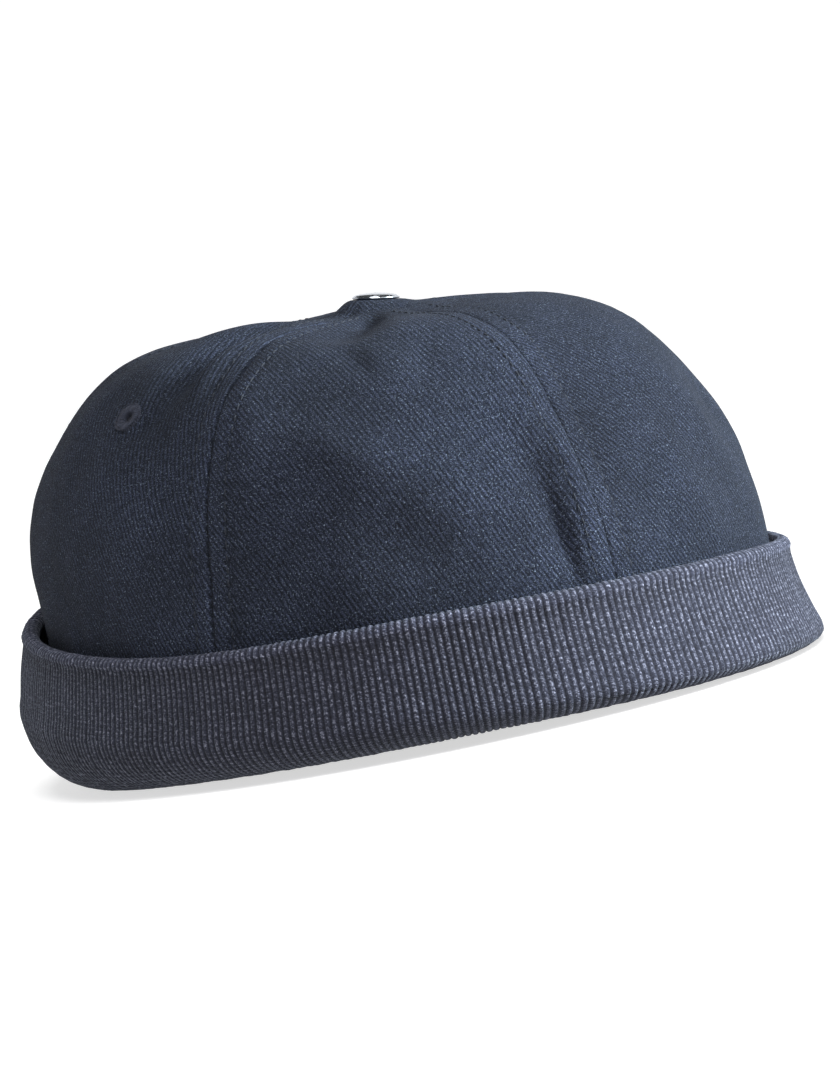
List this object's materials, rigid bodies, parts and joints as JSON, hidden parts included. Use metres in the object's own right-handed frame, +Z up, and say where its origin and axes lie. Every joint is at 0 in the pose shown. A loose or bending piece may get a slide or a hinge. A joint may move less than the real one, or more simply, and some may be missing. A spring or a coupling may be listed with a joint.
{
  "type": "chef cap",
  "caption": "Brimless cotton twill cap with panelled crown, turned-up rib-knit cuff, metal top button and stitched air holes.",
  "frame": {"origin": "under the middle of the cap's box, on the floor that the cuff rests on", "axes": "+Z up, -Y towards the cap's front, -X towards the wearer's right"},
  "size_m": [0.1902, 0.216, 0.1052],
  "materials": {
    "cotton_twill": "brushed twill, matte",
    "rib_knit": "rib knit, matte",
    "eyelet_thread": "satin thread",
    "button_metal": "polished"
  },
  "bodies": {
    "root": {"front_right_panel": "cotton_twill", "side_right_panel": "cotton_twill", "back_right_panel": "cotton_twill", "back_left_panel": "cotton_twill", "side_left_panel": "cotton_twill", "front_left_panel": "cotton_twill", "eyelet_side_right": "eyelet_thread", "eyelet_back_right": "eyelet_thread", "eyelet_back_left": "eyelet_thread", "eyelet_side_left": "eyelet_thread", "top_button": "button_metal", "cuff": "rib_knit"}
  },
  "joints": []
}
